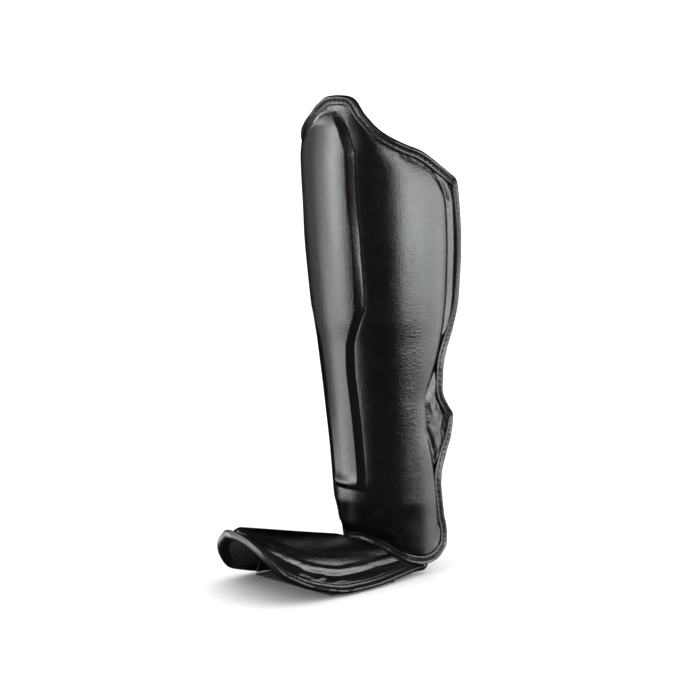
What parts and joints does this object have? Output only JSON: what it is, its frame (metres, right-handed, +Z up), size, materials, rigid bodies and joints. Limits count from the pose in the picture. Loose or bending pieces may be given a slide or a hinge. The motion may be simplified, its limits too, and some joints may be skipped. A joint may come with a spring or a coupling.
{
  "type": "shin guard",
  "caption": "Padded leather shin and instep guard with a raised front ridge, an ankle hinge, an under-foot elastic and hook-and-loop calf straps.",
  "frame": {"origin": "middle of the footprint, on the ground that the under-foot elastic lies on", "axes": "+Z up the shin; -Y towards the toes; +X towards the inner (big toe) side of a right leg"},
  "size_m": [0.1358, 0.2378, 0.411],
  "materials": {
    "leather": "satin",
    "binding": "satin",
    "lining": "matte",
    "firm_foam": "matte",
    "soft_foam": "matte",
    "elastic": "matte",
    "touch_tape": "matte"
  },
  "bodies": {
    "foot_guard": {"foot_shell": "leather", "foot_foam": "firm_foam", "foot_instep_pad": "soft_foam", "foot_lining": "lining", "foot_binding": "binding", "foot_elastic": "elastic", "foot_elastic_tab_inner": "binding", "foot_elastic_tab_outer": "binding", "ankle_gusset": "leather"},
    "shin_guard": {"shin_shell": "leather", "shin_foam": "firm_foam", "shin_ridge_foam": "firm_foam", "shin_comfort_foam": "soft_foam", "shin_lining": "lining", "shin_binding": "binding", "upper_loop_patch": "touch_tape", "lower_loop_patch": "touch_tape", "upper_strap_anchor": "binding", "lower_strap_anchor": "binding"},
    "upper_strap": {"upper_strap_elastic": "elastic"},
    "upper_flap": {"upper_strap_flap": "leather", "upper_strap_hook": "touch_tape", "upper_strap_pull_tab": "binding"},
    "lower_strap": {"lower_strap_elastic": "elastic"},
    "lower_flap": {"lower_strap_flap": "leather", "lower_strap_hook": "touch_tape", "lower_strap_pull_tab": "binding"}
  },
  "joints": [
    {"name": "ankle_flex", "type": "hinge", "parent": "foot_guard", "child": "shin_guard", "pos_m": [0.00266, 0.01455, 0.03], "axis": [-1, 0, 0], "range_deg": [-12, 40], "deforming": ["ankle_gusset"]},
    {"name": "upper_strap_swing", "type": "hinge", "parent": "shin_guard", "child": "upper_strap", "pos_m": [0.04938, 0.09106, 0.306], "axis": [-0.0296, 0.0246, -0.9993], "range_deg": [0, 95]},
    {"name": "upper_flap_peel", "type": "hinge", "parent": "upper_strap", "child": "upper_flap", "pos_m": [0.01013, 0.11513, 0.306], "axis": [-0.0047, 0.0097, -0.9999], "range_deg": [0, 70]},
    {"name": "lower_strap_swing", "type": "hinge", "parent": "shin_guard", "child": "lower_strap", "pos_m": [0.04157, 0.09091, 0.119], "axis": [-0.0329, 0.057, -0.9978], "range_deg": [0, 95]},
    {"name": "lower_flap_peel", "type": "hinge", "parent": "lower_strap", "child": "lower_flap", "pos_m": [0.01017, 0.11234, 0.119], "axis": [-0.0063, 0.0392, -0.9992], "range_deg": [0, 70]}
  ]
}
